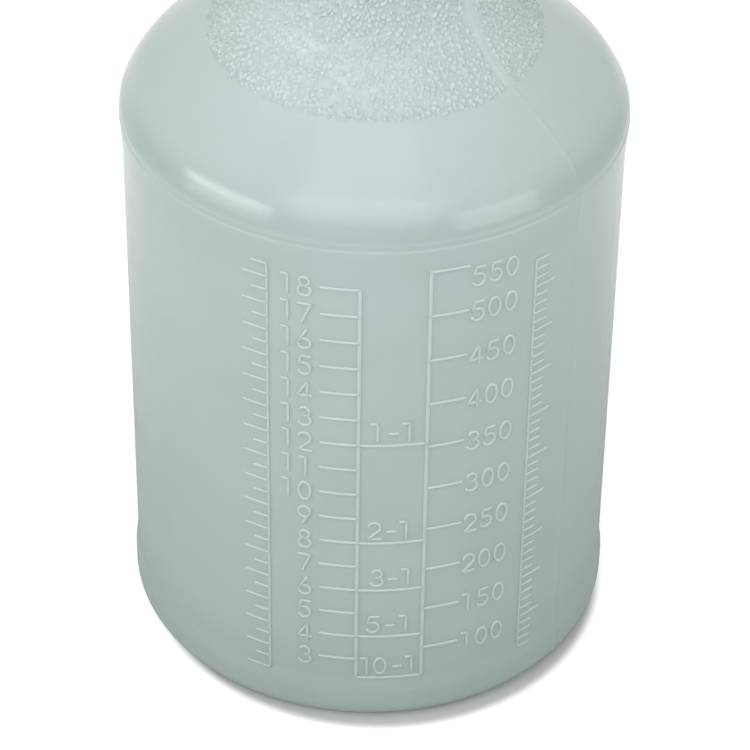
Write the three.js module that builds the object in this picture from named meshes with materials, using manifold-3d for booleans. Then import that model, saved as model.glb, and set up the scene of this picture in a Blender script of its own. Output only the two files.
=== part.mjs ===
// Graduated plastic bottle, blow moulded in one piece: round body with two raised scales,
// domed shoulder, waisted grip, fill ring and a screw neck with an open mouth.
// Millimetres, +Z up. The origin is on the axis at the standing ring, and the scales face -Y.
import * as THREE from 'three';
import { mergeVertices } from 'three/addons/utils/BufferGeometryUtils.js';
import Module from 'manifold-3d';

const wasm = await Module();
wasm.setup();

// Walls
const WALL = 1.0;
const NECK_WALL = 2.1;

// Round body
const PANEL_RADIUS = 42.7; // straight wall that carries the scales
const BEAD_PROUD = 0.45; // the base bead and the shoulder bead stand proud of the panel
const HEEL_FILLET = 4.2;
const BASE_BEAD_TOP = 7.1;
const BASE_BEAD_SLOPE = 3.2;
const PANEL_TOP = 97; // from here the wall swells to the shoulder bead
const SHOULDER_BEAD_Z = 103.8;

// Base, pushed up inside its standing ring
const STANDING_RING_WIDTH = 4.6;
const PUSH_UP_HEIGHT = 3.4;
const PUSH_UP_SLOPE_RUN = 7;

// Fine groove round the shoulder bead, with a short ledge under it that faces up
const GROOVE_RISE = 0.3; // above the level of SHOULDER_BEAD_Z
const GROOVE_DEPTH = 0.2;
const GROOVE_LEDGE = 0.35;

// Shoulder: rounded bead, short cone and a shallow dome
const BEAD_FILLET = 5.5;
const BEAD_START_ANGLE = 12;
const BEAD_END_ANGLE = 30;
const CONE_RISE = 3.4;
const DOME_RADIUS = 78;
const DOME_START_ANGLE = 48.5;
const DOME_END_ANGLE = 59.5;

// Waisted grip
const WAIST_RADIUS = 18;
const FLARE_RADIUS = 125;
const FLARE_ANGLE = 20;
const GRIP_TOP_FILLET = 13;
const GRIP_TOP_END_ANGLE = 62;

// Screw neck
const NECK_RADIUS = 12.55;
const NECK_BASE_LENGTH = 5.4; // plain neck under the transfer bead
const TRANSFER_BEAD_PROUD = 2.3;
const TRANSFER_BEAD_HEIGHT = 2.2;
const FINISH_HEIGHT = 10.4; // from the transfer bead to the mouth rim
const RIM_CHAMFER = 0.4;
const THREAD_PROUD = 1.15;
const THREAD_RADIUS = 1.3;
const THREAD_PITCH = 4.23;
const THREAD_TURNS = 1.5;
const THREAD_TOP_LAND = 1.6; // plain rim above the thread
const THREAD_RUN_OUT = 0.08; // share of the thread that sinks into the neck at each end

// Fill ring round the grip's top, at the level of about 710 ml
const FILL_RING_ANGLE = 25.8;
const FILL_RING_PROUD = 0.55;
const FILL_RING_WIDTH = 1.7;

// Raised scales: heights in mm, places as arc lengths from the front, + to the right
const ML_PER_OUNCE = 29.5735;
const SCALE_ZERO = -1.3;
const RIDGE_PROUD = 0.34;
const RIDGE_ROOT = 0.4;
const LINE_WIDTH = 0.55;
const RAIL_WIDTH = 0.7;
const LEFT_RAIL = -1.9;
const RIGHT_RAIL = 9.6;
const TICK_LENGTH = 6.4;
const BOX_FLOOR_OUNCES = 24 / 11;
const RATIO_OUNCES = [4, 6, 8, 12];
const OUNCES = { from: 3, to: 18, step: 1 };
const MILLILITRES = { from: 100, to: 550, step: 50 };

// Outer ladders beside them, a rail with one rung at each whole mark
const LADDER_LINE_WIDTH = 0.5;
const LADDER_RUNG = 4.5;
const LEFT_LADDER = -17.5;
const RIGHT_LADDER = 28.8;
const LADDER_OUNCES = { from: 2, to: 18.5, step: 1 };
const LADDER_MILLILITRES = { from: 60, to: 530, step: 50 };

// Facets
const SEGMENTS = 48;
const SPAN_OF_ONE_FACET = 3.6; // longest straight stretch of a raised line
const THREAD_SIDES = 7;
const THREAD_STEPS_PER_TURN = 26;
const SAME_POINT = 1e-6;

// Sizes that follow
const BEAD_RADIUS = PANEL_RADIUS + BEAD_PROUD;
const INNER_RADIUS = PANEL_RADIUS - WALL;
const RISE_PER_ML = 1000 / (Math.PI * INNER_RADIUS ** 2);
const HEEL = new THREE.Vector2(BEAD_RADIUS - HEEL_FILLET, HEEL_FILLET);
const RING_INSIDE = HEEL.x - STANDING_RING_WIDTH;
const BEAD = new THREE.Vector2(BEAD_RADIUS - BEAD_FILLET, SHOULDER_BEAD_Z);
const DOME_FOOT = new THREE.Vector2(
  polar(BEAD, BEAD_FILLET, BEAD_END_ANGLE).x - CONE_RISE * Math.tan(radians(BEAD_END_ANGLE)),
  polar(BEAD, BEAD_FILLET, BEAD_END_ANGLE).y + CONE_RISE,
);
const DOME = polar(DOME_FOOT, -DOME_RADIUS, DOME_START_ANGLE);
const DOME_TOP = polar(DOME, DOME_RADIUS, DOME_END_ANGLE);
const GRIP_FILLET = (DOME_TOP.x - WAIST_RADIUS) / (1 - Math.cos(radians(DOME_END_ANGLE)));
const GRIP = polar(DOME_TOP, GRIP_FILLET, DOME_END_ANGLE);
const FLARE = new THREE.Vector2(WAIST_RADIUS + FLARE_RADIUS, GRIP.y);
const FLARE_TOP = polar(FLARE, FLARE_RADIUS, 180 - FLARE_ANGLE);
const GRIP_TOP = polar(FLARE_TOP, -GRIP_TOP_FILLET, -FLARE_ANGLE);
const GRIP_END = polar(GRIP_TOP, GRIP_TOP_FILLET, GRIP_TOP_END_ANGLE);
const NECK_FILLET = (GRIP_END.x - NECK_RADIUS) / (1 - Math.cos(radians(GRIP_TOP_END_ANGLE)));
const NECK_FOOT = polar(GRIP_END, NECK_FILLET, GRIP_TOP_END_ANGLE);
const TRANSFER_BEAD_Z = NECK_FOOT.y + NECK_BASE_LENGTH;
const FINISH_Z = TRANSFER_BEAD_Z + TRANSFER_BEAD_HEIGHT;
const HEIGHT = FINISH_Z + FINISH_HEIGHT;

function radians(degrees) {
  return THREE.MathUtils.degToRad(degrees);
}

// Point at a distance from a centre, the angle counted from the outward direction towards +Z.
function polar(centre, distance, degrees) {
  const angle = radians(degrees);
  return new THREE.Vector2(centre.x + distance * Math.cos(angle), centre.y + distance * Math.sin(angle));
}

function arc(centre, radius, from, to, steps) {
  const points = [];
  for (let i = 0; i <= steps; i++) {
    points.push(polar(centre, radius, THREE.MathUtils.lerp(from, to, i / steps)));
  }
  return points;
}

// Section of the wall from the heel to the foot of the neck, moved inwards by inset.
function wallSection(inset, detail) {
  const steps = (full) => Math.max(2, Math.round(full * detail));
  return [
    ...arc(HEEL, HEEL_FILLET - inset, -90, 0, steps(4)),
    new THREE.Vector2(BEAD_RADIUS - inset, BASE_BEAD_TOP),
    new THREE.Vector2(PANEL_RADIUS - inset, BASE_BEAD_TOP + BASE_BEAD_SLOPE),
    new THREE.Vector2(PANEL_RADIUS - inset, PANEL_TOP),
    ...(inset === 0 ? groove() : []),
    ...arc(BEAD, BEAD_FILLET - inset, BEAD_START_ANGLE, BEAD_END_ANGLE, steps(3)),
    ...arc(DOME, DOME_RADIUS - inset, DOME_START_ANGLE, DOME_END_ANGLE, steps(4)),
    ...arc(GRIP, GRIP_FILLET + inset, 180 + DOME_END_ANGLE, 180, steps(8)),
    ...arc(FLARE, FLARE_RADIUS + inset, 180, 180 - FLARE_ANGLE, steps(4)),
    ...arc(GRIP_TOP, GRIP_TOP_FILLET - inset, -FLARE_ANGLE, GRIP_TOP_END_ANGLE, steps(6)),
    ...arc(NECK_FOOT, NECK_FILLET + inset, 180 + GRIP_TOP_END_ANGLE, 180, steps(4)),
  ];
}

function groove() {
  const z = SHOULDER_BEAD_Z + GROOVE_RISE;
  return [
    new THREE.Vector2(BEAD_RADIUS, z - GROOVE_LEDGE),
    new THREE.Vector2(BEAD_RADIUS - GROOVE_DEPTH, z),
  ];
}

// Underside, or the floor inside when raised by the wall.
function baseSection(inset) {
  const flat = RING_INSIDE - PUSH_UP_SLOPE_RUN;
  return [
    new THREE.Vector2(0, PUSH_UP_HEIGHT + inset),
    new THREE.Vector2(flat - inset, PUSH_UP_HEIGHT + inset),
    new THREE.Vector2(RING_INSIDE - inset, inset),
  ];
}

function neckOutside() {
  const proud = NECK_RADIUS + TRANSFER_BEAD_PROUD;
  return [
    new THREE.Vector2(NECK_RADIUS, TRANSFER_BEAD_Z),
    new THREE.Vector2(proud, TRANSFER_BEAD_Z + TRANSFER_BEAD_HEIGHT / 3),
    new THREE.Vector2(proud, FINISH_Z - TRANSFER_BEAD_HEIGHT / 3),
    new THREE.Vector2(NECK_RADIUS, FINISH_Z),
    new THREE.Vector2(NECK_RADIUS, HEIGHT - RIM_CHAMFER),
    new THREE.Vector2(NECK_RADIUS - RIM_CHAMFER, HEIGHT),
  ];
}

// From the mouth down to where the bore meets the thin wall of the grip.
function neckInside() {
  const bore = NECK_RADIUS - NECK_WALL;
  return [
    new THREE.Vector2(bore + RIM_CHAMFER, HEIGHT),
    new THREE.Vector2(bore, HEIGHT - RIM_CHAMFER),
    new THREE.Vector2(bore, TRANSFER_BEAD_Z),
  ];
}

function lathe(points) {
  const separate = points.filter((p, i) => i === 0 || p.distanceTo(points[i - 1]) > SAME_POINT);
  return new THREE.LatheGeometry(separate, SEGMENTS).rotateX(Math.PI / 2);
}

function shell() {
  const outside = [...baseSection(0), ...wallSection(0, 1), ...neckOutside()];
  const inside = [...baseSection(WALL), ...wallSection(WALL, 0.5)];
  return lathe([...outside, ...neckInside(), ...inside.reverse()]);
}

function fillRing() {
  const seat = polar(GRIP_TOP, GRIP_TOP_FILLET, FILL_RING_ANGLE);
  const section = [
    new THREE.Vector2(seat.x - WALL / 2, seat.y - FILL_RING_WIDTH / 2),
    new THREE.Vector2(seat.x + FILL_RING_PROUD, seat.y - FILL_RING_WIDTH / 5),
    new THREE.Vector2(seat.x + FILL_RING_PROUD, seat.y + FILL_RING_WIDTH / 5),
    new THREE.Vector2(seat.x - WALL / 2, seat.y + FILL_RING_WIDTH / 2),
  ];
  return lathe([...section, section[0]]);
}

// Helix of the neck thread, sinking into the neck at both ends.
class ThreadPath extends THREE.Curve {
  getPoint(t, target = new THREE.Vector3()) {
    const fade = Math.min(1, t / THREAD_RUN_OUT, (1 - t) / THREAD_RUN_OUT);
    const radius = NECK_RADIUS + THREAD_PROUD * fade - THREAD_RADIUS;
    const angle = 2 * Math.PI * THREAD_TURNS * t;
    const top = HEIGHT - THREAD_TOP_LAND - THREAD_RADIUS;
    const z = top - THREAD_PITCH * THREAD_TURNS * (1 - t);
    return target.set(radius * Math.cos(angle), radius * Math.sin(angle), z);
  }
}

function thread() {
  const section = new THREE.Shape();
  for (let i = 0; i < THREAD_SIDES; i++) {
    const angle = (2 * Math.PI * i) / THREAD_SIDES;
    const move = i === 0 ? 'moveTo' : 'lineTo';
    section[move](THREAD_RADIUS * Math.cos(angle), THREAD_RADIUS * Math.sin(angle));
  }
  return new THREE.ExtrudeGeometry(section, {
    extrudePath: new ThreadPath(),
    steps: Math.round(THREAD_TURNS * THREAD_STEPS_PER_TURN),
    bevelEnabled: false,
  });
}

// Raised bar on the panel between two arc places and two heights.
function bar(left, right, low, high) {
  const steps = Math.ceil((right - left) / SPAN_OF_ONE_FACET);
  const at = (radius, i) => {
    const angle = THREE.MathUtils.lerp(left, right, i / steps) / PANEL_RADIUS;
    return new THREE.Vector2(radius * Math.sin(angle), -radius * Math.cos(angle));
  };
  const outline = [];
  for (let i = 0; i <= steps; i++) {
    outline.push(at(PANEL_RADIUS + RIDGE_PROUD, i));
  }
  for (let i = steps; i >= 0; i--) {
    outline.push(at(PANEL_RADIUS - RIDGE_ROOT, i));
  }
  const section = new THREE.Shape(outline);
  const solid = new THREE.ExtrudeGeometry(section, { depth: high - low, bevelEnabled: false });
  return solid.translate(0, 0, low);
}

function markHeight(millilitres) {
  return SCALE_ZERO + millilitres * RISE_PER_ML;
}

function line(left, right, millilitres, width) {
  const z = markHeight(millilitres);
  return bar(left, right, z - width / 2, z + width / 2);
}

function rail(place, fromMl, toMl, width) {
  return bar(place - width / 2, place + width / 2, markHeight(fromMl), markHeight(toMl));
}

function marksOf(scale) {
  const marks = [];
  for (let mark = Math.ceil(scale.from / scale.step) * scale.step; mark <= scale.to; mark += scale.step) {
    marks.push(mark);
  }
  return marks;
}

function mainScales() {
  const floorMl = BOX_FLOOR_OUNCES * ML_PER_OUNCE;
  const bars = [
    rail(LEFT_RAIL, floorMl, OUNCES.to * ML_PER_OUNCE, RAIL_WIDTH),
    rail(RIGHT_RAIL, floorMl, MILLILITRES.to, RAIL_WIDTH),
    line(LEFT_RAIL, RIGHT_RAIL, floorMl, LINE_WIDTH),
  ];
  for (const ounces of marksOf(OUNCES)) {
    bars.push(line(LEFT_RAIL - TICK_LENGTH, LEFT_RAIL, ounces * ML_PER_OUNCE, LINE_WIDTH));
  }
  for (const ml of marksOf(MILLILITRES)) {
    bars.push(line(RIGHT_RAIL, RIGHT_RAIL + TICK_LENGTH, ml, LINE_WIDTH));
  }
  for (const ounces of RATIO_OUNCES) {
    bars.push(line(LEFT_RAIL, RIGHT_RAIL, ounces * ML_PER_OUNCE, LINE_WIDTH));
  }
  return bars;
}

// Rungs run outwards from the rail: to the left where side is -1, to the right where it is 1.
function ladder(place, scale, mlPerUnit, side) {
  const end = place + side * LADDER_RUNG;
  const bars = [rail(place, scale.from * mlPerUnit, scale.to * mlPerUnit, LADDER_LINE_WIDTH)];
  for (const mark of marksOf(scale)) {
    bars.push(line(Math.min(place, end), Math.max(place, end), mark * mlPerUnit, LADDER_LINE_WIDTH));
  }
  return bars;
}

function toSolid(geometry) {
  geometry.deleteAttribute('normal');
  geometry.deleteAttribute('uv');
  const merged = mergeVertices(geometry);
  const corners = merged.index.array;
  const triangles = [];
  for (let i = 0; i < corners.length; i += 3) {
    const [a, b, c] = corners.slice(i, i + 3);
    if (a !== b && b !== c && c !== a) {
      triangles.push(a, b, c);
    }
  }
  return new wasm.Manifold(new wasm.Mesh({
    numProp: 3,
    vertProperties: Float32Array.from(merged.attributes.position.array),
    triVerts: Uint32Array.from(triangles),
  }));
}

function toGeometry(solid) {
  const mesh = solid.getMesh();
  const geometry = new THREE.BufferGeometry();
  geometry.setAttribute('position', new THREE.BufferAttribute(mesh.vertProperties, mesh.numProp));
  geometry.setIndex(new THREE.BufferAttribute(mesh.triVerts, 1));
  geometry.computeVertexNormals();
  return geometry;
}

function bottle() {
  const raised = [
    fillRing(),
    thread(),
    ...mainScales(),
    ...ladder(LEFT_LADDER, LADDER_OUNCES, ML_PER_OUNCE, -1),
    ...ladder(RIGHT_LADDER, LADDER_MILLILITRES, 1, 1),
  ];
  const solid = raised.reduce((sum, piece) => sum.add(toSolid(piece)), toSolid(shell()));
  const plastic = new THREE.MeshStandardMaterial({ color: 0xc6d2ce, roughness: 0.45, metalness: 0 });
  const mesh = new THREE.Mesh(toGeometry(solid), plastic);
  mesh.name = 'bottle';
  return mesh;
}

const model = new THREE.Group();
model.add(bottle());

export default model;
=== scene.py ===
"""Looks of the graduated plastic bottle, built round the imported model: the moulded shell with its
parting line, the grip's pebbled grain, the raised scales and the neck thread, in milky plastic."""
import math

import bpy
import numpy as np
from mathutils import Matrix, Quaternion, Vector, noise


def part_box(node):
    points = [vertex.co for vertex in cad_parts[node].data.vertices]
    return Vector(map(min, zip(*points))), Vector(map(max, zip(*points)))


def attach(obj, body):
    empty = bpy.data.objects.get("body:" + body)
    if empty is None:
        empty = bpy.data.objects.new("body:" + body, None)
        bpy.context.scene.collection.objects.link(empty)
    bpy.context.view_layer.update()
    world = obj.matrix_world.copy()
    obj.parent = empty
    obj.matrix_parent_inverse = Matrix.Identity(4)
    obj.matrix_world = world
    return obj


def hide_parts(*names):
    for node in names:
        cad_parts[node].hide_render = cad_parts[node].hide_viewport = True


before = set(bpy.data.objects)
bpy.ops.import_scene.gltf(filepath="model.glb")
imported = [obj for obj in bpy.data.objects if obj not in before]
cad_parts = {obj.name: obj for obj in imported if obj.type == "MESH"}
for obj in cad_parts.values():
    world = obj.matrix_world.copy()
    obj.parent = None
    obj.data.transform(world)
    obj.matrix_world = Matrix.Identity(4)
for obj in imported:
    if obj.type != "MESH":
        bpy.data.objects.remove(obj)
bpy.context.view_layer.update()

MM = 0.001

# Sizes of the moulded wall, in millimetres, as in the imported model
BEAD_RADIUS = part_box("bottle")[1].x / MM
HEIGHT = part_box("bottle")[1].z / MM
BEAD_PROUD = 0.45
PANEL_RADIUS = BEAD_RADIUS - BEAD_PROUD
WALL = 1.0
NECK_WALL = 2.1
HEEL_FILLET = 4.2
BASE_BEAD_TOP = 7.1
BASE_BEAD_SLOPE = 3.2
PANEL_TOP = 97
SHOULDER_BEAD_Z = 103.8
STANDING_RING_WIDTH = 4.6
PUSH_UP_HEIGHT = 3.4
PUSH_UP_SLOPE_RUN = 7
GROOVE_RISE = 0.3
GROOVE_DEPTH = 0.2
GROOVE_LEDGE = 0.35
BEAD_FILLET = 5.5
BEAD_START_ANGLE = 12
BEAD_END_ANGLE = 30
CONE_RISE = 3.4
DOME_RADIUS = 78
DOME_START_ANGLE = 48.5
DOME_END_ANGLE = 59.5
WAIST_RADIUS = 18
FLARE_RADIUS = 125
FLARE_ANGLE = 20
GRIP_TOP_FILLET = 13
GRIP_TOP_END_ANGLE = 62
NECK_RADIUS = 12.55
NECK_BASE_LENGTH = 5.4
TRANSFER_BEAD_PROUD = 2.3
TRANSFER_BEAD_HEIGHT = 2.2
RIM_CHAMFER = 0.4
FILL_RING_ANGLE = 25.8
FILL_RING_PROUD = 0.55
FILL_RING_WIDTH = 1.7
FILL_RING_CROWN = 0.45

# Neck thread
THREAD_PROUD = 1.15
THREAD_PITCH = 4.23
THREAD_TURNS = 1.5
THREAD_TOP_LAND = 2.9
THREAD_RUN_OUT = 0.08
THREAD_HALF_WIDTH = 1.15
THREAD_SINK = 0.3
THREAD_STEPS = 150

# Across and up on the thread's section, in shares of its half width and of how proud it stands
THREAD_PROFILE = (
    (-1.0, -0.4), (-0.8, 0.2), (-0.35, 0.95), (0.0, 1.0), (0.35, 0.95), (0.8, 0.2), (1.0, -0.4),
)

# Fineness of the shell and the rounding of its corners
ROUND_STEP = 1.1
ROUND_ANGLE = 6
STRAIGHT_STEP = 3.5
CORNER_CUT = 0.45
CORNER_ANGLE = 7
CORNER_PIECES = 4
SHOULDER_CUT = 2.2
SHOULDER_PIECES = 8
SHELL_COLUMNS = 180
SAME_POINT = 1e-4
TINY = 1e-9

# Parting line of the mould, as bearings from the front, + to the right
PARTING_BEARINGS = (52, -128)
PARTING_PROUD = 0.04
PARTING_TOP_HALF = 0.06
PARTING_FOOT_HALF = 0.17
PARTING_RIM_FADE = 1.5
PARTING_AXIS_FADE = 6
PARTING_REACH = 0.6

# Pebbled grain of the grip, with a finer mesh in the fillet at its foot
GRAIN_CELL = 0.85
GRAIN_HEIGHT = 0.56
GRAIN_VALLEY = 0.46
GRAIN_SINK = 0.08
GRAIN_WARP = 0.45
GRAIN_SEED = 7
GRAIN_UNEVEN = 0.25
GRAIN_UNEVEN_CELLS = 2
GRAIN_EDGE_FADE = 0.4
GRAIN_STRIP_HALF = 0.95
GRAIN_FOOT_COLUMNS = 900
GRAIN_FOOT_STEP = 0.24
GRAIN_COLUMNS = 560
GRAIN_STEP = 0.5

# Raised scales on the panel: places as arc lengths from the front, + to the right
SCALE_ZERO = -1.3
ML_PER_OUNCE = 29.5735
RISE_PER_ML = 1000 / (math.pi * (PANEL_RADIUS - WALL) ** 2)
LEFT_RAIL = -1.9
RIGHT_RAIL = 9.6
TICK_LENGTH = 6.4
OUNCES = range(3, 19)
MILLILITRES = range(100, 551, 50)
LINE_HALF = 0.29
RAIL_HALF = 0.36
RIDGE_PROUD = 0.27
RIDGE_SINK = 0.25
RIDGE_STEP = 1.0
RIDGE_CLEARANCE = 0.01

# Rounded end of a raised line: how far it reaches past the end, and its width there, in shares
# of the line's half width
CAP_OUTER = (0.9, 0.35)
CAP_INNER = (0.55, 0.8)

# Numerals beside the marks
DIGIT_HEIGHT = 3.75
DIGIT_WIDTH = 2.45
STROKE_HALF = 0.27
TENS_CENTRE = -14.1
UNITS_CENTRE = -11.05
OUNCE_DROP = 0.3
MILLILITRE_CENTRES = (17.75, 20.8, 23.9)
MILLILITRE_DROP = 0.6
TOP_MILLILITRE_DROP = 2.6
RATIO_HEIGHT = 3.6
RATIO_LIFT = 2.85

# Mixing ratios in the box, so many parts to 1 of a full bottle, with the centre of each sign
FULL_OUNCES = 24
RATIOS = {
    1: (1.1, 4.0, 6.4),
    2: (0.95, 3.9, 6.2),
    3: (1.45, 4.3, 6.7),
    5: (0.95, 3.9, 6.5),
    10: (-0.2, 2.3, 5.3, 7.65),
}

# Fine ladders at both sides of the scales
LADDER_HALF = 0.24
LEFT_LADDER = -17.5
RIGHT_LADDER = 28.8
LADDER_LONG = 4.5
LADDER_SHORT = 2.7
LADDER_HALF_OUNCES = range(4, 38)
LADDER_TEN_ML = range(6, 54)

# Milky plastic: darker and lighter colour of the bottle and of its raised scales, depths in metres; the
# raised scales are lighter than the bottle, a painted highlight of their edges
BOTTLE_COLOURS = ((0.606, 0.724, 0.716, 1), (0.647, 0.755, 0.754, 1))
RAISED_HIGHLIGHT_COLOURS = ((0.80, 0.915, 0.90, 1), (0.835, 0.94, 0.93, 1))
SUBSURFACE = 0.25
SUBSURFACE_RADIUS = (1.0, 1.1, 1.05)
SUBSURFACE_DEPTH = 0.003
PLASTIC_IOR = 1.5
PLASTIC_ROUGHNESS = (0.15, 0.21)
CLOUD_SCALE = 45
CLOUD_DETAIL = 3
CLOUD_STOPS = (0.3, 0.7)
PEEL_SCALE = 900
PEEL_DETAIL = 2
PEEL_STRENGTH = 0.06
PEEL_DEPTH = 0.0004

# Painted shade of the plastic by height, in shares of SHADE_TOP: darker towards the base and in a band
# at the shoulder bead, lighter up the grip, and greener towards the base; painted darker, greener shade
# at the sides
SHADE_TOP = 0.125
SHADE_STOPS = (
    (0.0, 0.60), (0.024, 0.62), (0.072, 0.65), (0.16, 0.712), (0.4, 0.768), (0.82, 0.80),
    (0.838, 0.79), (0.848, 0.70), (0.861, 0.70), (0.875, 0.78), (0.89, 0.825), (0.948, 0.88),
    (0.958, 0.97), (1.0, 0.98),
)
PAINTED_BASE_SHADE_TINT = (0.96, 1.0, 0.965)
PAINTED_SIDE_SHADE = (0.97, 1.0, 0.945, 1)
PAINTED_SIDE_SHADE_START = 0.016
PAINTED_SIDE_SHADE_END = 0.044

# White ground: its glow is left out in a disc round the base, a painted contact shadow over the real
# one, and in reflections it fades in further out, a painted shadow in the reflected floor
FLOOR_HALF = 3.0
FLOOR_COLOUR = (0.65, 0.65, 0.65, 1)
FLOOR_GLOW = 0.62
SHADOW_CENTRE = (0.0016, -0.0036, 0)
SHADOW_INSIDE = 0.0396
SHADOW_OUTSIDE = 0.0421
PAINTED_REFLECTED_SHADOW_OUTSIDE = 0.2
WHITE = (1, 1, 1, 1)

# Light from all round, and the lamps: bearing from the front and elevation of each, seen from the
# shoulder, its distance, width and height in metres, its watts and its tilt
WORLD_LIGHT = 0.53
LAMP_TARGET = Vector((0, 0, 0.1))
LAMPS = {
    "top_light": (-10, 68, 1.2, 0.8, 0.8, 1.55, 0),
    "front_light": (-3, 42, 1.4, 1.5, 0.9, 6.0, 0),
    "left_strip": (-66, 19.5, 1.0, 0.72, 0.17, 2.1, 14),
    "right_strip": (54, 20, 1.0, 0.66, 0.2, 1.1, -13),
}

# Camera, from the ground plane and the bottle's axis, in metres and degrees, its lens in millimetres
CAMERA_PLACE = (0.0, -0.48368, 0.43324)
CAMERA_PITCH = 38.79
CAMERA_YAW = 0.089
CAMERA_ROLL = 0.864
CAMERA_LENS = 165.87
SENSOR = 36.0


def direction(degrees):
    """Unit vector in the section, the angle counted from outwards towards +Z."""
    angle = math.radians(degrees)
    return np.array([math.cos(angle), math.sin(angle)])


def polar(centre, distance, degrees):
    """Point of the section at a distance from a centre, in a direction."""
    return np.array(centre) + distance * direction(degrees)


def arc(centre, radius, start, end):
    """Points along an arc of the section, ROUND_STEP and ROUND_ANGLE apart at most."""
    turn = abs(end - start)
    steps = max(math.ceil(turn / ROUND_ANGLE), math.ceil(math.radians(turn) * radius / ROUND_STEP))
    return [polar(centre, radius, start + (end - start) * i / steps) for i in range(steps + 1)]


HEEL = (BEAD_RADIUS - HEEL_FILLET, HEEL_FILLET)
RING_INSIDE = HEEL[0] - STANDING_RING_WIDTH
BEAD = (BEAD_RADIUS - BEAD_FILLET, SHOULDER_BEAD_Z)
CONE_FOOT = polar(BEAD, BEAD_FILLET, BEAD_END_ANGLE)
DOME_FOOT = CONE_FOOT + CONE_RISE * np.array([-math.tan(math.radians(BEAD_END_ANGLE)), 1])
DOME = polar(DOME_FOOT, -DOME_RADIUS, DOME_START_ANGLE)
DOME_ROUND_ANGLE = DOME_START_ANGLE + math.degrees(SHOULDER_CUT / DOME_RADIUS)
DOME_TOP = polar(DOME, DOME_RADIUS, DOME_END_ANGLE)
GRIP_FILLET = (DOME_TOP[0] - WAIST_RADIUS) / (1 - math.cos(math.radians(DOME_END_ANGLE)))
GRIP = polar(DOME_TOP, GRIP_FILLET, DOME_END_ANGLE)
FLARE = (WAIST_RADIUS + FLARE_RADIUS, GRIP[1])
FLARE_TOP = polar(FLARE, FLARE_RADIUS, 180 - FLARE_ANGLE)
GRIP_TOP = polar(FLARE_TOP, -GRIP_TOP_FILLET, -FLARE_ANGLE)
GRIP_END = polar(GRIP_TOP, GRIP_TOP_FILLET, GRIP_TOP_END_ANGLE)
NECK_FILLET = (GRIP_END[0] - NECK_RADIUS) / (1 - math.cos(math.radians(GRIP_TOP_END_ANGLE)))
NECK_FOOT = polar(GRIP_END, NECK_FILLET, GRIP_TOP_END_ANGLE)
TRANSFER_BEAD_Z = NECK_FOOT[1] + NECK_BASE_LENGTH


def base_section(inset):
    """Pushed-up underside, or the floor inside it."""
    flat = RING_INSIDE - PUSH_UP_SLOPE_RUN
    height = PUSH_UP_HEIGHT + inset
    return [(0, height), (flat - inset, height), (RING_INSIDE - inset, inset)]


def wall_section(inset):
    """The wall from the heel to the foot of the neck, moved inwards by inset."""
    if inset == 0:
        groove_z = SHOULDER_BEAD_Z + GROOVE_RISE
        groove = [(BEAD_RADIUS, groove_z - GROOVE_LEDGE), (BEAD_RADIUS - GROOVE_DEPTH, groove_z)]
        grip_top = fill_ring()
    else:
        groove = []
        grip_top = arc(GRIP_TOP, GRIP_TOP_FILLET - inset, -FLARE_ANGLE, GRIP_TOP_END_ANGLE)
    return [
        *arc(HEEL, HEEL_FILLET - inset, -90, 0),
        (BEAD_RADIUS - inset, BASE_BEAD_TOP),
        (PANEL_RADIUS - inset, BASE_BEAD_TOP + BASE_BEAD_SLOPE),
        (PANEL_RADIUS - inset, PANEL_TOP),
        *groove,
        *arc(BEAD, BEAD_FILLET - inset, BEAD_START_ANGLE, BEAD_END_ANGLE),
        *shoulder_round(inset),
        *arc(DOME, DOME_RADIUS - inset, DOME_ROUND_ANGLE, DOME_END_ANGLE),
        *arc(GRIP, GRIP_FILLET + inset, 180 + DOME_END_ANGLE, 180),
        *arc(FLARE, FLARE_RADIUS + inset, 180, 180 - FLARE_ANGLE),
        *grip_top,
        *arc(NECK_FOOT, NECK_FILLET + inset, 180 + GRIP_TOP_END_ANGLE, 180),
    ]


def corner_curve(start, corner, end, pieces):
    """Points along the curve from start to end that rounds off the corner between them."""
    return [
        (1 - t) ** 2 * start + 2 * t * (1 - t) * corner + t**2 * end
        for t in np.linspace(0, 1, pieces + 1)
    ]


def shoulder_round(inset):
    """Soft turn from the shoulder's cone into its dome."""
    corner = DOME_FOOT - inset * direction((BEAD_END_ANGLE + DOME_START_ANGLE) / 2)
    low = corner + SHOULDER_CUT * direction(BEAD_END_ANGLE - 90)
    high = polar(DOME, DOME_RADIUS - inset, DOME_ROUND_ANGLE)
    return corner_curve(low, corner, high, SHOULDER_PIECES)


def fill_ring():
    """The grip's rounded top with the fill ring's bead on it."""
    half = math.degrees(FILL_RING_WIDTH / 2 / GRIP_TOP_FILLET)
    below = arc(GRIP_TOP, GRIP_TOP_FILLET, -FLARE_ANGLE, FILL_RING_ANGLE - half)
    above = arc(GRIP_TOP, GRIP_TOP_FILLET, FILL_RING_ANGLE + half, GRIP_TOP_END_ANGLE)
    crown = [
        polar(GRIP_TOP, GRIP_TOP_FILLET + FILL_RING_PROUD, FILL_RING_ANGLE + share * half)
        for share in (-FILL_RING_CROWN, 0, FILL_RING_CROWN)
    ]
    return [*below, *crown, *above]


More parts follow.
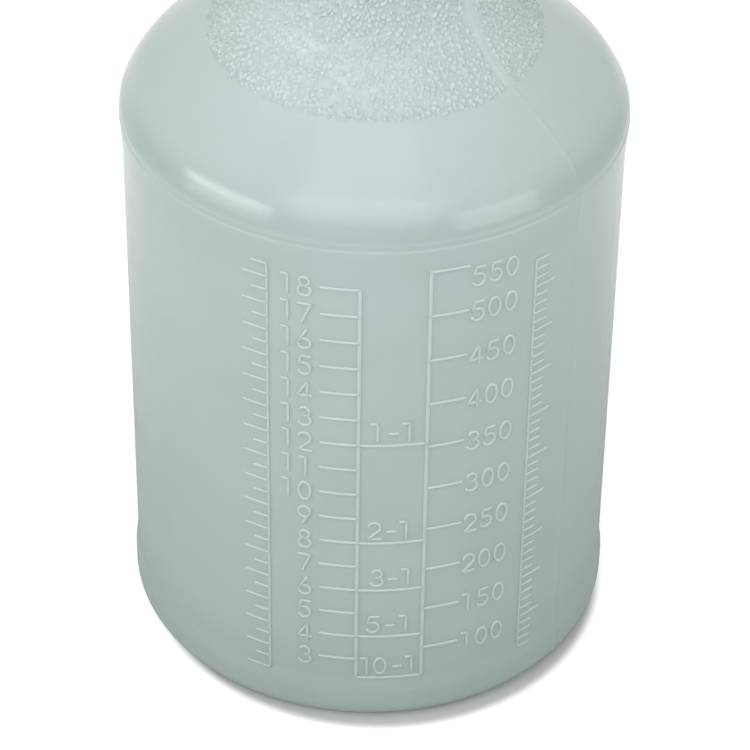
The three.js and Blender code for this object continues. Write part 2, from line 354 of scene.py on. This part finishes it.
def neck_section():
    """Outside of the neck, the mouth and its bore down to the thin wall."""
    proud = NECK_RADIUS + TRANSFER_BEAD_PROUD
    bore = NECK_RADIUS - NECK_WALL
    top = TRANSFER_BEAD_Z + TRANSFER_BEAD_HEIGHT
    slope = TRANSFER_BEAD_HEIGHT / 3
    return [
        (NECK_RADIUS, TRANSFER_BEAD_Z),
        (proud, TRANSFER_BEAD_Z + slope),
        (proud, top - slope),
        (NECK_RADIUS, top),
        (NECK_RADIUS, HEIGHT - RIM_CHAMFER),
        (NECK_RADIUS - RIM_CHAMFER, HEIGHT),
        (bore + RIM_CHAMFER, HEIGHT),
        (bore, HEIGHT - RIM_CHAMFER),
        (bore, TRANSFER_BEAD_Z),
    ]


def unit(vectors):
    """A vector, or each row of an array of them, brought to length 1."""
    return vectors / np.maximum(np.linalg.norm(vectors, axis=-1, keepdims=True), TINY)


def softened(points):
    """Rounds each sharp corner of a section and divides its long straight stretches."""
    points = [np.array(p, float) for p in points]
    points = [points[0]] + [b for a, b in zip(points, points[1:]) if np.linalg.norm(b - a) > SAME_POINT]
    rounded = [points[0]]
    for before, corner, after in zip(points, points[1:], points[2:]):
        to_before, to_after = unit(before - corner), unit(after - corner)
        turn = 180 - math.degrees(math.acos(np.clip(to_before @ to_after, -1, 1)))
        if turn < CORNER_ANGLE:
            rounded.append(corner)
            continue
        cut = min(CORNER_CUT, np.linalg.norm(before - corner) / 3, np.linalg.norm(after - corner) / 3)
        start, end = corner + cut * to_before, corner + cut * to_after
        rounded += corner_curve(start, corner, end, CORNER_PIECES)
    rounded.append(points[-1])
    divided = [rounded[0]]
    for a, b in zip(rounded, rounded[1:]):
        pieces = math.ceil(np.linalg.norm(b - a) / STRAIGHT_STEP)
        divided += [a + (b - a) * i / pieces for i in range(1, pieces + 1)]
    return np.array(divided)


def section_normals(section):
    """Outward normals of a section that runs up the outside and down the inside."""
    along = unit(np.gradient(section, axis=0))
    return np.stack([along[:, 1], -along[:, 0]], axis=1)


def to_space(radius, bearing, z):
    """Millimetres on the bottle to a point in metres; bearing 0 is the front, + to the right."""
    return np.stack([radius * np.sin(bearing), -radius * np.cos(bearing), z], axis=-1) * MM


def mesh_piece(name, vertices, faces, material):
    """Smooth mesh that rides on the bottle's body and has the slot of its plastic."""
    mesh = bpy.data.meshes.new(name)
    mesh.from_pydata(vertices.tolist(), [], faces)
    mesh.validate()
    mesh.shade_smooth()
    piece = bpy.data.objects.new(name, mesh)
    bpy.context.collection.objects.link(piece)
    piece.data.materials.append(material)
    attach(piece, "root")
    return piece


def grid_faces(rows, columns):
    """Quads of a grid whose columns stand all round the bottle."""
    faces = []
    for row in range(rows - 1):
        low, high = row * columns, (row + 1) * columns
        for column in range(columns):
            right = (column + 1) % columns
            faces.append((low + column, low + right, high + right, high + column))
    return faces


def shell_columns(radii):
    """Bearings and lifts of the shell's columns on each row, with five over each parting line."""
    spacing = 2 * math.pi / SHELL_COLUMNS
    columns = []
    for parting in PARTING_BEARINGS:
        centre = math.radians(parting)
        for half in (-PARTING_FOOT_HALF, -PARTING_TOP_HALF, 0, PARTING_TOP_HALF, PARTING_FOOT_HALF):
            shift = half / np.maximum(radii, PARTING_FOOT_HALF / (PARTING_REACH * spacing))
            lift = PARTING_PROUD if abs(half) < PARTING_FOOT_HALF else 0
            columns.append((centre + shift, np.full_like(radii, lift)))
        for i in range(1, SHELL_COLUMNS // 2):
            columns.append((np.full_like(radii, centre + i * spacing), np.zeros_like(radii)))
    return np.array([c[0] for c in columns]).T, np.array([c[1] for c in columns]).T


def build_shell():
    """The whole moulded wall, outside and inside, as one closed surface of revolution."""
    outside = [*base_section(0), *wall_section(0), *neck_section()]
    inside = [*base_section(WALL), *wall_section(WALL)]
    section = softened([*outside, *reversed(inside)])
    normals = section_normals(section)
    bearings, lifts = shell_columns(section[1:-1, 0])
    outer_rows = np.arange(1, len(section) - 1) < int(np.argmax(section[:, 1]))
    fade = np.where(outer_rows, np.clip(section[1:-1, 0] / PARTING_AXIS_FADE, 0, 1), 0)[:, None]
    fade *= np.clip((HEIGHT - section[1:-1, 1]) / PARTING_RIM_FADE, 0, 1)[:, None]
    radius = section[1:-1, 0, None] + lifts * fade * normals[1:-1, 0, None]
    z = section[1:-1, 1, None] + lifts * fade * np.maximum(normals[1:-1, 1, None], 0)
    rows, columns = bearings.shape
    grid = to_space(radius, bearings, np.broadcast_to(z, radius.shape)).reshape(-1, 3)
    first = to_space(np.zeros(1), np.zeros(1), section[:1, 1])
    last = to_space(np.zeros(1), np.zeros(1), section[-1:, 1])
    vertices = np.vstack([grid, first, last])
    faces = grid_faces(rows, columns)
    foot, top = rows * columns, (rows - 1) * columns
    for column in range(columns):
        right = (column + 1) % columns
        faces.append((right, column, foot))
        faces.append((top + column, top + right, foot + 1))
    shell = mesh_piece("bottle_shell", vertices, faces, PLASTIC)
    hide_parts("bottle")


def grain_section():
    """Points of the grip's outside from the foot of the grain to its top, and the one at the waist."""
    fine = math.ceil(math.radians(DOME_END_ANGLE) * GRIP_FILLET / GRAIN_FOOT_STEP)
    coarse = math.ceil(math.radians(FLARE_ANGLE) * FLARE_RADIUS / GRAIN_STEP)
    lower = [polar(GRIP, GRIP_FILLET, 180 + DOME_END_ANGLE * (1 - i / fine)) for i in range(fine + 1)]
    upper = [polar(FLARE, FLARE_RADIUS, 180 - FLARE_ANGLE * i / coarse) for i in range(1, coarse + 1)]
    return np.array(lower + upper), fine


def pebble(point):
    """Height of the grain at a point, 0 in the valleys to 1 on the pebbles' crowns."""
    place = Vector(point) / GRAIN_CELL
    distances, _ = noise.voronoi(place + GRAIN_WARP * noise.noise_vector(place))
    ridge = min(1.0, (distances[1] - distances[0]) / GRAIN_VALLEY)
    size = 1 - GRAIN_UNEVEN + GRAIN_UNEVEN * noise.noise(place / GRAIN_UNEVEN_CELLS)
    return ridge * ridge * (3 - 2 * ridge) * size


def build_grain():
    """Pebbled grain all round the grip, in a fine skin at its foot and a coarser one above."""
    noise.seed_set(GRAIN_SEED)
    section, waist = grain_section()
    normals = section_normals(section)
    steps = np.linalg.norm(np.diff(section, axis=0), axis=1)
    along = np.concatenate([[0], np.cumsum(steps)])
    to_end = np.minimum(along, along[-1] - along)
    foot, upper = slice(0, waist + 1), slice(waist, None)
    grain_skin("grip_grain_foot", section[foot], normals[foot], to_end[foot], GRAIN_FOOT_COLUMNS)
    grain_skin("grip_grain", section[upper], normals[upper], to_end[upper], GRAIN_COLUMNS)


def grain_skin(name, section, normals, to_end, columns):
    """Skin of pebbles, sunk under the shell between them, at its ends and along the parting lines."""
    bearings = np.arange(columns) * 2 * math.pi / columns
    turns = [
        np.abs((bearings - math.radians(parting) + math.pi) % (2 * math.pi) - math.pi)
        for parting in PARTING_BEARINGS
    ]
    to_strip = np.min(turns, axis=0)[None] * section[:, 0, None] - GRAIN_STRIP_HALF
    mask = np.clip(np.minimum(to_end[:, None], to_strip) / GRAIN_EDGE_FADE, 0, 1)
    flat = to_space(section[:, 0, None], bearings[None], section[:, 1, None] + np.zeros((1, columns)))
    heights = np.array([pebble(p / MM) for p in flat.reshape(-1, 3)]).reshape(mask.shape)
    lift = (GRAIN_HEIGHT + GRAIN_SINK) * heights * mask - GRAIN_SINK
    radius = section[:, 0, None] + lift * normals[:, 0, None]
    z = section[:, 1, None] + lift * normals[:, 1, None]
    vertices = to_space(radius, bearings[None], z).reshape(-1, 3)
    mesh_piece(name, vertices, grid_faces(*mask.shape), PLASTIC)


def panel_radius(z):
    """Radius of the panel under a mark, with its swell towards the shoulder bead."""
    return np.interp(z, (PANEL_TOP, SHOULDER_BEAD_Z), (PANEL_RADIUS, BEAD_RADIUS))


class Ridges:
    """Collects raised strokes drawn on the unrolled panel into one mesh; PROFILE is across and up."""

    PROFILE = (
        (-1.0, -RIDGE_SINK), (-0.93, 0.45), (-0.7, 0.92), (0.0, 1.0),
        (0.7, 0.92), (0.93, 0.45), (1.0, -RIDGE_SINK),
    )

    def __init__(self):
        self.vertices, self.faces = [], []

    def stroke(self, points, half, closed=False):
        """One stroke along points of (arc place, height), with rounded ends unless it closes."""
        path = self.divided(np.array(points, float), closed)
        if closed:
            tangents = unit(np.roll(path, -1, 0) - np.roll(path, 1, 0))
            widths = np.ones(len(path))
        else:
            path, widths = self.with_caps(path, half)
            tangents = unit(np.gradient(path, axis=0))
        count = len(path)
        sideways = np.stack([tangents[:, 1], -tangents[:, 0]], axis=1)
        start = sum(len(v) for v in self.vertices)
        for point, side, width in zip(path, sideways, widths):
            ring = []
            for across, up in self.PROFILE:
                place = point + side * across * half * width
                proud = RIDGE_PROUD * up * width if up > 0 else up
                radius = min(panel_radius(place[1]) + proud, BEAD_RADIUS - RIDGE_CLEARANCE)
                ring.append(to_space(radius, place[0] / PANEL_RADIUS, place[1]))
            self.vertices.append(np.array(ring))
        sides = len(self.PROFILE)
        for i in range(count if closed else count - 1):
            a, b = start + i * sides, start + (i + 1) % count * sides
            for k in range(sides):
                self.faces.append((a + k, b + k, b + (k + 1) % sides, a + (k + 1) % sides))
        if not closed:
            self.faces.append(tuple(start + k for k in range(sides)))
            end = start + (count - 1) * sides
            self.faces.append(tuple(end + k for k in reversed(range(sides))))

    @staticmethod
    def divided(path, closed):
        """Points along a path, RIDGE_STEP apart at most."""
        ends = np.vstack([path, path[:1]]) if closed else path
        points = [ends[0]]
        for a, b in zip(ends, ends[1:]):
            pieces = max(1, math.ceil(np.linalg.norm(b - a) / RIDGE_STEP))
            points += [a + (b - a) * i / pieces for i in range(1, pieces + 1)]
        return np.array(points[:-1] if closed else points)

    @staticmethod
    def with_caps(path, half):
        """Adds two narrowing steps at each end, so that the stroke ends round."""
        first, last = unit(path[0] - path[1]), unit(path[-1] - path[-2])
        path = np.vstack([
            path[0] + first * half * CAP_OUTER[0], path[0] + first * half * CAP_INNER[0], path,
            path[-1] + last * half * CAP_INNER[0], path[-1] + last * half * CAP_OUTER[0],
        ])
        widths = np.ones(len(path))
        widths[[0, -1]], widths[[1, -2]] = CAP_OUTER[1], CAP_INNER[1]
        return path, widths

    def build(self, name):
        """Turns the strokes into one piece."""
        mesh_piece(name, np.vstack(self.vertices), self.faces, HIGHLIGHTED_RAISED_PLASTIC)


def bow(centre_x, centre_y, radius_x, radius_y, start, end, steps=12):
    """Points of a bow of a numeral, angles in degrees from the right, anticlockwise."""
    angles = [math.radians(start + (end - start) * i / steps) for i in range(steps + 1)]
    return [(centre_x + radius_x * math.cos(a), centre_y + radius_y * math.sin(a)) for a in angles]


def open_stroke(*points):
    return list(points), False


def loop(*bow_values):
    return bow(*bow_values), True


# Strokes of each numeral in a box from -0.5 to 0.5 across and 0 to 1 up
NUMERALS = {
    "0": [loop(0, 0.5, 0.42, 0.5, 0, 345, 20)],
    "1": [open_stroke((-0.36, 1), (0.08, 1)), open_stroke((0.08, 1), (0.08, 0))],
    "2": [
        open_stroke(*bow(0, 0.69, 0.42, 0.31, 165, -30), (-0.44, 0)),
        open_stroke((-0.44, 0), (0.46, 0)),
    ],
    "3": [
        open_stroke(*bow(0, 0.75, 0.37, 0.25, 150, -90)),
        open_stroke(*bow(0, 0.27, 0.44, 0.27, 90, -155)),
    ],
    "4": [
        open_stroke((0.2, 0), (0.2, 1)),
        open_stroke((0.2, 1), (-0.48, 0.26)),
        open_stroke((-0.48, 0.26), (0.48, 0.26)),
    ],
    "5": [
        open_stroke((0.4, 1), (-0.24, 1)),
        open_stroke((-0.24, 1), (-0.36, 0.52)),
        open_stroke(*bow(-0.02, 0.32, 0.44, 0.32, 142, -150)),
    ],
    "6": [loop(0, 0.27, 0.42, 0.27, 0, 342, 16), open_stroke((-0.38, 0.38), (0.14, 1))],
    "7": [open_stroke((-0.44, 1), (0.44, 1)), open_stroke((0.44, 1), (-0.16, 0))],
    "8": [loop(0, 0.76, 0.34, 0.24, 0, 340, 16), loop(0, 0.27, 0.44, 0.27, 0, 342, 16)],
    "9": [loop(0, 0.69, 0.42, 0.31, 0, 342, 16), open_stroke((0.36, 0.54), (-0.16, 0))],
    "-": [open_stroke((-0.3, 0.42), (0.3, 0.42))],
}


def mark_height(millilitres):
    return SCALE_ZERO + RISE_PER_ML * millilitres


def ounce_height(ounces):
    return mark_height(ounces * ML_PER_OUNCE)


def ratio_height(parts):
    """Height of the box line for 1 part, when so many parts of water fill the rest of the bottle."""
    return ounce_height(FULL_OUNCES / (parts + 1))


def numeral(ridges, sign, centre, middle, height):
    """One raised numeral, its centre at an arc place and its middle at a height."""
    for points, closed in NUMERALS[sign]:
        placed = [(centre + x * DIGIT_WIDTH, middle + (y - 0.5) * height) for x, y in points]
        ridges.stroke(placed, STROKE_HALF, closed)


def level_line(ridges, left, right, z, half):
    ridges.stroke([(left, z), (right, z)], half)


def upright_line(ridges, place, low, high, half):
    ridges.stroke([(place, low), (place, high)], half)


def main_scales(ridges):
    """Ounce marks on the left, millilitre marks on the right and the mixing box between them."""
    floor = ratio_height(max(RATIOS))
    upright_line(ridges, LEFT_RAIL, floor, ounce_height(OUNCES[-1]), RAIL_HALF)
    upright_line(ridges, RIGHT_RAIL, floor, mark_height(MILLILITRES[-1]), RAIL_HALF)
    for ounces in OUNCES:
        z = ounce_height(ounces)
        level_line(ridges, LEFT_RAIL - TICK_LENGTH, LEFT_RAIL, z, LINE_HALF)
        centres = (UNITS_CENTRE,) if ounces < 10 else (TENS_CENTRE, UNITS_CENTRE)
        for sign, centre in zip(str(ounces), centres):
            numeral(ridges, sign, centre, z - OUNCE_DROP, DIGIT_HEIGHT)
    for millilitres in MILLILITRES:
        z = mark_height(millilitres)
        level_line(ridges, RIGHT_RAIL, RIGHT_RAIL + TICK_LENGTH, z, LINE_HALF)
        drop = TOP_MILLILITRE_DROP if millilitres == MILLILITRES[-1] else MILLILITRE_DROP
        for sign, centre in zip(str(millilitres), MILLILITRE_CENTRES):
            numeral(ridges, sign, centre, z - drop, DIGIT_HEIGHT)
    for parts, centres in RATIOS.items():
        z = ratio_height(parts)
        level_line(ridges, LEFT_RAIL, RIGHT_RAIL, z, LINE_HALF)
        for sign, centre in zip(f"{parts}-1", centres):
            numeral(ridges, sign, centre, z + RATIO_LIFT, RATIO_HEIGHT)


def ladder(ridges, place, side, marks, height_of, long_every):
    """Rail with rungs that run outwards: to the left where side is -1, to the right where it is 1."""
    heights = [height_of(mark) for mark in marks]
    upright_line(ridges, place, heights[0], heights[-1], LADDER_HALF)
    for mark, z in zip(marks, heights):
        length = LADDER_LONG if mark % long_every == 0 else LADDER_SHORT
        level_line(ridges, place, place + side * length, z, LADDER_HALF)


def build_scales():
    """The main scales, with a ladder of half ounces at their left and of 10 ml at their right."""
    ridges = Ridges()
    main_scales(ridges)
    ladder(ridges, LEFT_LADDER, -1, LADDER_HALF_OUNCES, lambda half: ounce_height(half / 2), 2)
    ladder(ridges, RIGHT_LADDER, 1, LADDER_TEN_ML, lambda ten: mark_height(10 * ten), 5)
    ridges.build("raised_scales")


def build_thread():
    """Right-hand thread round the neck, sinking into it at both ends."""
    t = np.arange(THREAD_STEPS + 1)[:, None] / THREAD_STEPS
    fade = np.minimum(1, np.minimum(t, 1 - t) / THREAD_RUN_OUT)
    across, up = np.array(THREAD_PROFILE).T[:, None]
    across = across * THREAD_HALF_WIDTH
    proud = np.where(up > 0, up * THREAD_PROUD * fade, up) - THREAD_SINK * (1 - fade)
    bearing = 2 * math.pi * THREAD_TURNS * t + np.zeros_like(across)
    rise = THREAD_PITCH * THREAD_TURNS
    z = HEIGHT - THREAD_TOP_LAND - rise + rise * t + across
    vertices = to_space(NECK_RADIUS + proud, bearing, z).reshape(-1, 3)
    sides = len(THREAD_PROFILE)
    faces = []
    for i in range(THREAD_STEPS):
        a, b = i * sides, (i + 1) * sides
        for k in range(sides):
            faces.append((a + k, b + k, b + (k + 1) % sides, a + (k + 1) % sides))
    faces.append(tuple(range(sides)))
    faces.append(tuple(THREAD_STEPS * sides + k for k in reversed(range(sides))))
    mesh_piece("neck_thread", vertices, faces, PLASTIC)


def noise_texture(nodes, links, place, scale, detail):
    """Noise over the object, as the socket of its value."""
    texture = nodes.new("ShaderNodeTexNoise")
    texture.inputs["Scale"].default_value = scale
    texture.inputs["Detail"].default_value = detail
    links.new(place, texture.inputs["Vector"])
    return texture.outputs["Fac"]


def colour_product(nodes, links, first):
    """Node that multiplies a colour by the one in its socket B."""
    product = nodes.new("ShaderNodeMix")
    product.data_type = "RGBA"
    product.blend_type = "MULTIPLY"
    product.inputs["Factor"].default_value = 1.0
    links.new(first, product.inputs["A"])
    return product


def shaded(nodes, links, place, colour):
    """The colour with the painted shade by height and the painted darker, greener shade of the sides.
    """
    axes = nodes.new("ShaderNodeSeparateXYZ")
    links.new(place, axes.inputs["Vector"])
    level = nodes.new("ShaderNodeMapRange")
    level.inputs["From Max"].default_value = SHADE_TOP
    links.new(axes.outputs["Z"], level.inputs["Value"])
    # Painted shade by height: darker towards the base and at the shoulder bead, lighter up the grip
    shade = nodes.new("ShaderNodeValToRGB")
    stops = shade.color_ramp.elements
    stops[0].position, stops[1].position = SHADE_STOPS[0][0], SHADE_STOPS[-1][0]
    for position, _ in SHADE_STOPS[1:-1]:
        stops.new(position)
    for stop, (position, grey) in zip(stops, SHADE_STOPS):
        tint = [1 + (1 - position) * (channel - 1) for channel in PAINTED_BASE_SHADE_TINT]
        stop.color = (grey * tint[0], grey * tint[1], grey * tint[2], 1)
    links.new(level.outputs["Result"], shade.inputs["Fac"])
    height_shaded = colour_product(nodes, links, colour)
    links.new(shade.outputs["Color"], height_shaded.inputs["B"])
    # Painted shade: darker and greener towards the left and right sides, as the edges look from the
    # front
    across = nodes.new("ShaderNodeMath")
    across.operation = "ABSOLUTE"
    links.new(axes.outputs["X"], across.inputs[0])
    sides = nodes.new("ShaderNodeMapRange")
    sides.inputs["From Min"].default_value = PAINTED_SIDE_SHADE_START
    sides.inputs["From Max"].default_value = PAINTED_SIDE_SHADE_END
    links.new(across.outputs[0], sides.inputs["Value"])
    side_shaded = colour_product(nodes, links, height_shaded.outputs["Result"])
    side_shaded.inputs["B"].default_value = PAINTED_SIDE_SHADE
    links.new(sides.outputs["Result"], side_shaded.inputs["Factor"])
    return side_shaded.outputs["Result"]


def plastic(name, dark, light):
    """Milky natural plastic: faint clouding of the colour, painted shade by height and at the sides,
    satin shine and a slight orange peel.
    """
    material = bpy.data.materials.new(name)
    material.use_nodes = True
    nodes, links = material.node_tree.nodes, material.node_tree.links
    shader = nodes["Principled BSDF"]
    shader.inputs["Subsurface Weight"].default_value = SUBSURFACE
    shader.inputs["Subsurface Radius"].default_value = SUBSURFACE_RADIUS
    shader.inputs["Subsurface Scale"].default_value = SUBSURFACE_DEPTH
    shader.inputs["IOR"].default_value = PLASTIC_IOR
    place = nodes.new("ShaderNodeTexCoord").outputs["Object"]
    cloud = noise_texture(nodes, links, place, CLOUD_SCALE, CLOUD_DETAIL)
    colours = nodes.new("ShaderNodeValToRGB")
    for stop, position, colour in zip(colours.color_ramp.elements, CLOUD_STOPS, (dark, light)):
        stop.position = position
        stop.color = colour
    links.new(cloud, colours.inputs["Fac"])
    shine = nodes.new("ShaderNodeMapRange")
    shine.inputs["To Min"].default_value, shine.inputs["To Max"].default_value = PLASTIC_ROUGHNESS
    links.new(cloud, shine.inputs["Value"])
    bump = nodes.new("ShaderNodeBump")
    bump.inputs["Strength"].default_value = PEEL_STRENGTH
    bump.inputs["Distance"].default_value = PEEL_DEPTH
    links.new(noise_texture(nodes, links, place, PEEL_SCALE, PEEL_DETAIL), bump.inputs["Height"])
    colour = shaded(nodes, links, place, colours.outputs["Color"])
    links.new(colour, shader.inputs["Base Color"])
    links.new(shine.outputs["Result"], shader.inputs["Roughness"])
    links.new(bump.outputs["Normal"], shader.inputs["Normal"])
    return material


def seen_directly(nodes, links):
    """1 for camera, glossy and transmission rays, 0 for the light that falls on the object."""
    path = nodes.new("ShaderNodeLightPath")
    first = nodes.new("ShaderNodeMath")
    second = nodes.new("ShaderNodeMath")
    for node in (first, second):
        node.operation = "MAXIMUM"
    links.new(path.outputs["Is Camera Ray"], first.inputs[0])
    links.new(path.outputs["Is Glossy Ray"], first.inputs[1])
    links.new(first.outputs[0], second.inputs[0])
    links.new(path.outputs["Is Transmission Ray"], second.inputs[1])
    return second.outputs[0]


def build_floor():
    """White ground that keeps the object's shadow, deepened by a painted shadow where its glow is left
    out round the base, and glows outside it where it is seen.
    """
    bpy.ops.mesh.primitive_plane_add(size=2 * FLOOR_HALF)
    floor = bpy.context.object
    floor.name = "floor"
    material = bpy.data.materials.new("floor")
    material.use_nodes = True
    nodes, links = material.node_tree.nodes, material.node_tree.links
    shader = nodes["Principled BSDF"]
    shader.inputs["Base Color"].default_value = FLOOR_COLOUR
    shader.inputs["Roughness"].default_value = 1.0
    shader.inputs["Specular IOR Level"].default_value = 0.0
    shader.inputs["Emission Color"].default_value = WHITE
    place = nodes.new("ShaderNodeNewGeometry")
    reach = nodes.new("ShaderNodeVectorMath")
    reach.operation = "DISTANCE"
    reach.inputs[1].default_value = SHADOW_CENTRE
    path = nodes.new("ShaderNodeLightPath")
    spread = nodes.new("ShaderNodeMix")
    # Glow left out near the base as a painted shadow: seen directly it fades in close round the base,
    # in reflections much further out
    fades = {"A": (SHADOW_OUTSIDE, PAINTED_REFLECTED_SHADOW_OUTSIDE), "B": (SHADOW_INSIDE, SHADOW_OUTSIDE)}
    for side, (inside, outside) in fades.items():
        ramp = nodes.new("ShaderNodeMapRange")
        ramp.interpolation_type = "SMOOTHSTEP"
        ramp.inputs["From Min"].default_value = inside
        ramp.inputs["From Max"].default_value = outside
        ramp.inputs["To Max"].default_value = FLOOR_GLOW
        links.new(reach.outputs["Value"], ramp.inputs["Value"])
        links.new(ramp.outputs["Result"], spread.inputs[side])
    glow = nodes.new("ShaderNodeMath")
    glow.operation = "MULTIPLY"
    links.new(place.outputs["Position"], reach.inputs[0])
    links.new(path.outputs["Is Camera Ray"], spread.inputs["Factor"])
    links.new(spread.outputs["Result"], glow.inputs[1])
    links.new(seen_directly(nodes, links), glow.inputs[0])
    links.new(glow.outputs[0], shader.inputs["Emission Strength"])
    floor.data.materials.append(material)


def build_world():
    """Even dim light from all round, white where it is seen."""
    world = bpy.data.worlds.new("studio")
    bpy.context.scene.world = world
    world.use_nodes = True
    nodes, links = world.node_tree.nodes, world.node_tree.links
    background = nodes["Background"]
    background.inputs["Color"].default_value = WHITE
    strength = nodes.new("ShaderNodeMapRange")
    strength.inputs["To Min"].default_value = WORLD_LIGHT
    strength.inputs["To Max"].default_value = 1.0
    links.new(seen_directly(nodes, links), strength.inputs["Value"])
    links.new(strength.outputs["Result"], background.inputs["Strength"])


def build_lamps():
    """Rectangular lamps that face the shoulder, each turned by its tilt."""
    for name, (bearing, elevation, distance, width, height, watts, tilt) in LAMPS.items():
        light = bpy.data.lights.new(name, "AREA")
        light.energy = watts
        light.shape = "RECTANGLE"
        light.size = width
        light.size_y = height
        lamp = bpy.data.objects.new(name, light)
        a, e = math.radians(bearing), math.radians(elevation)
        away = Vector((math.sin(a) * math.cos(e), -math.cos(a) * math.cos(e), math.sin(e)))
        lamp.location = LAMP_TARGET + distance * away
        turn = away.to_track_quat("Z", "Y") @ Quaternion((0, 0, 1), math.radians(tilt))
        lamp.rotation_euler = turn.to_euler()
        bpy.context.collection.objects.link(lamp)


def build_camera():
    """Camera of the photograph, its place and turn worked out from the scale marks and rings."""
    pitch, yaw, roll = (math.radians(v) for v in (CAMERA_PITCH, CAMERA_YAW, CAMERA_ROLL))
    level = Vector((math.sin(yaw), math.cos(yaw), 0))
    forward = level * math.cos(pitch) - Vector((0, 0, math.sin(pitch)))
    right = Vector((math.cos(yaw), -math.sin(yaw), 0))
    up = right.cross(forward)
    rolled_right = right * math.cos(roll) + up * math.sin(roll)
    rolled_up = up * math.cos(roll) - right * math.sin(roll)
    data = bpy.data.cameras.new("camera")
    data.lens = CAMERA_LENS
    data.sensor_width = SENSOR
    camera = bpy.data.objects.new("camera", data)
    turn = Matrix((rolled_right, rolled_up, -forward)).transposed().to_4x4()
    camera.matrix_world = Matrix.Translation(CAMERA_PLACE) @ turn
    bpy.context.collection.objects.link(camera)
    bpy.context.scene.camera = camera


build_camera()
build_floor()
build_world()
build_lamps()
bpy.context.scene.view_settings.view_transform = "Standard"
PLASTIC = plastic("natural_plastic", *BOTTLE_COLOURS)
# The raised scales' plastic is lighter than the bottle's: a painted highlight of their edges
HIGHLIGHTED_RAISED_PLASTIC = plastic("raised_plastic_painted_highlight", *RAISED_HIGHLIGHT_COLOURS)
build_shell()
build_grain()
build_scales()
build_thread()
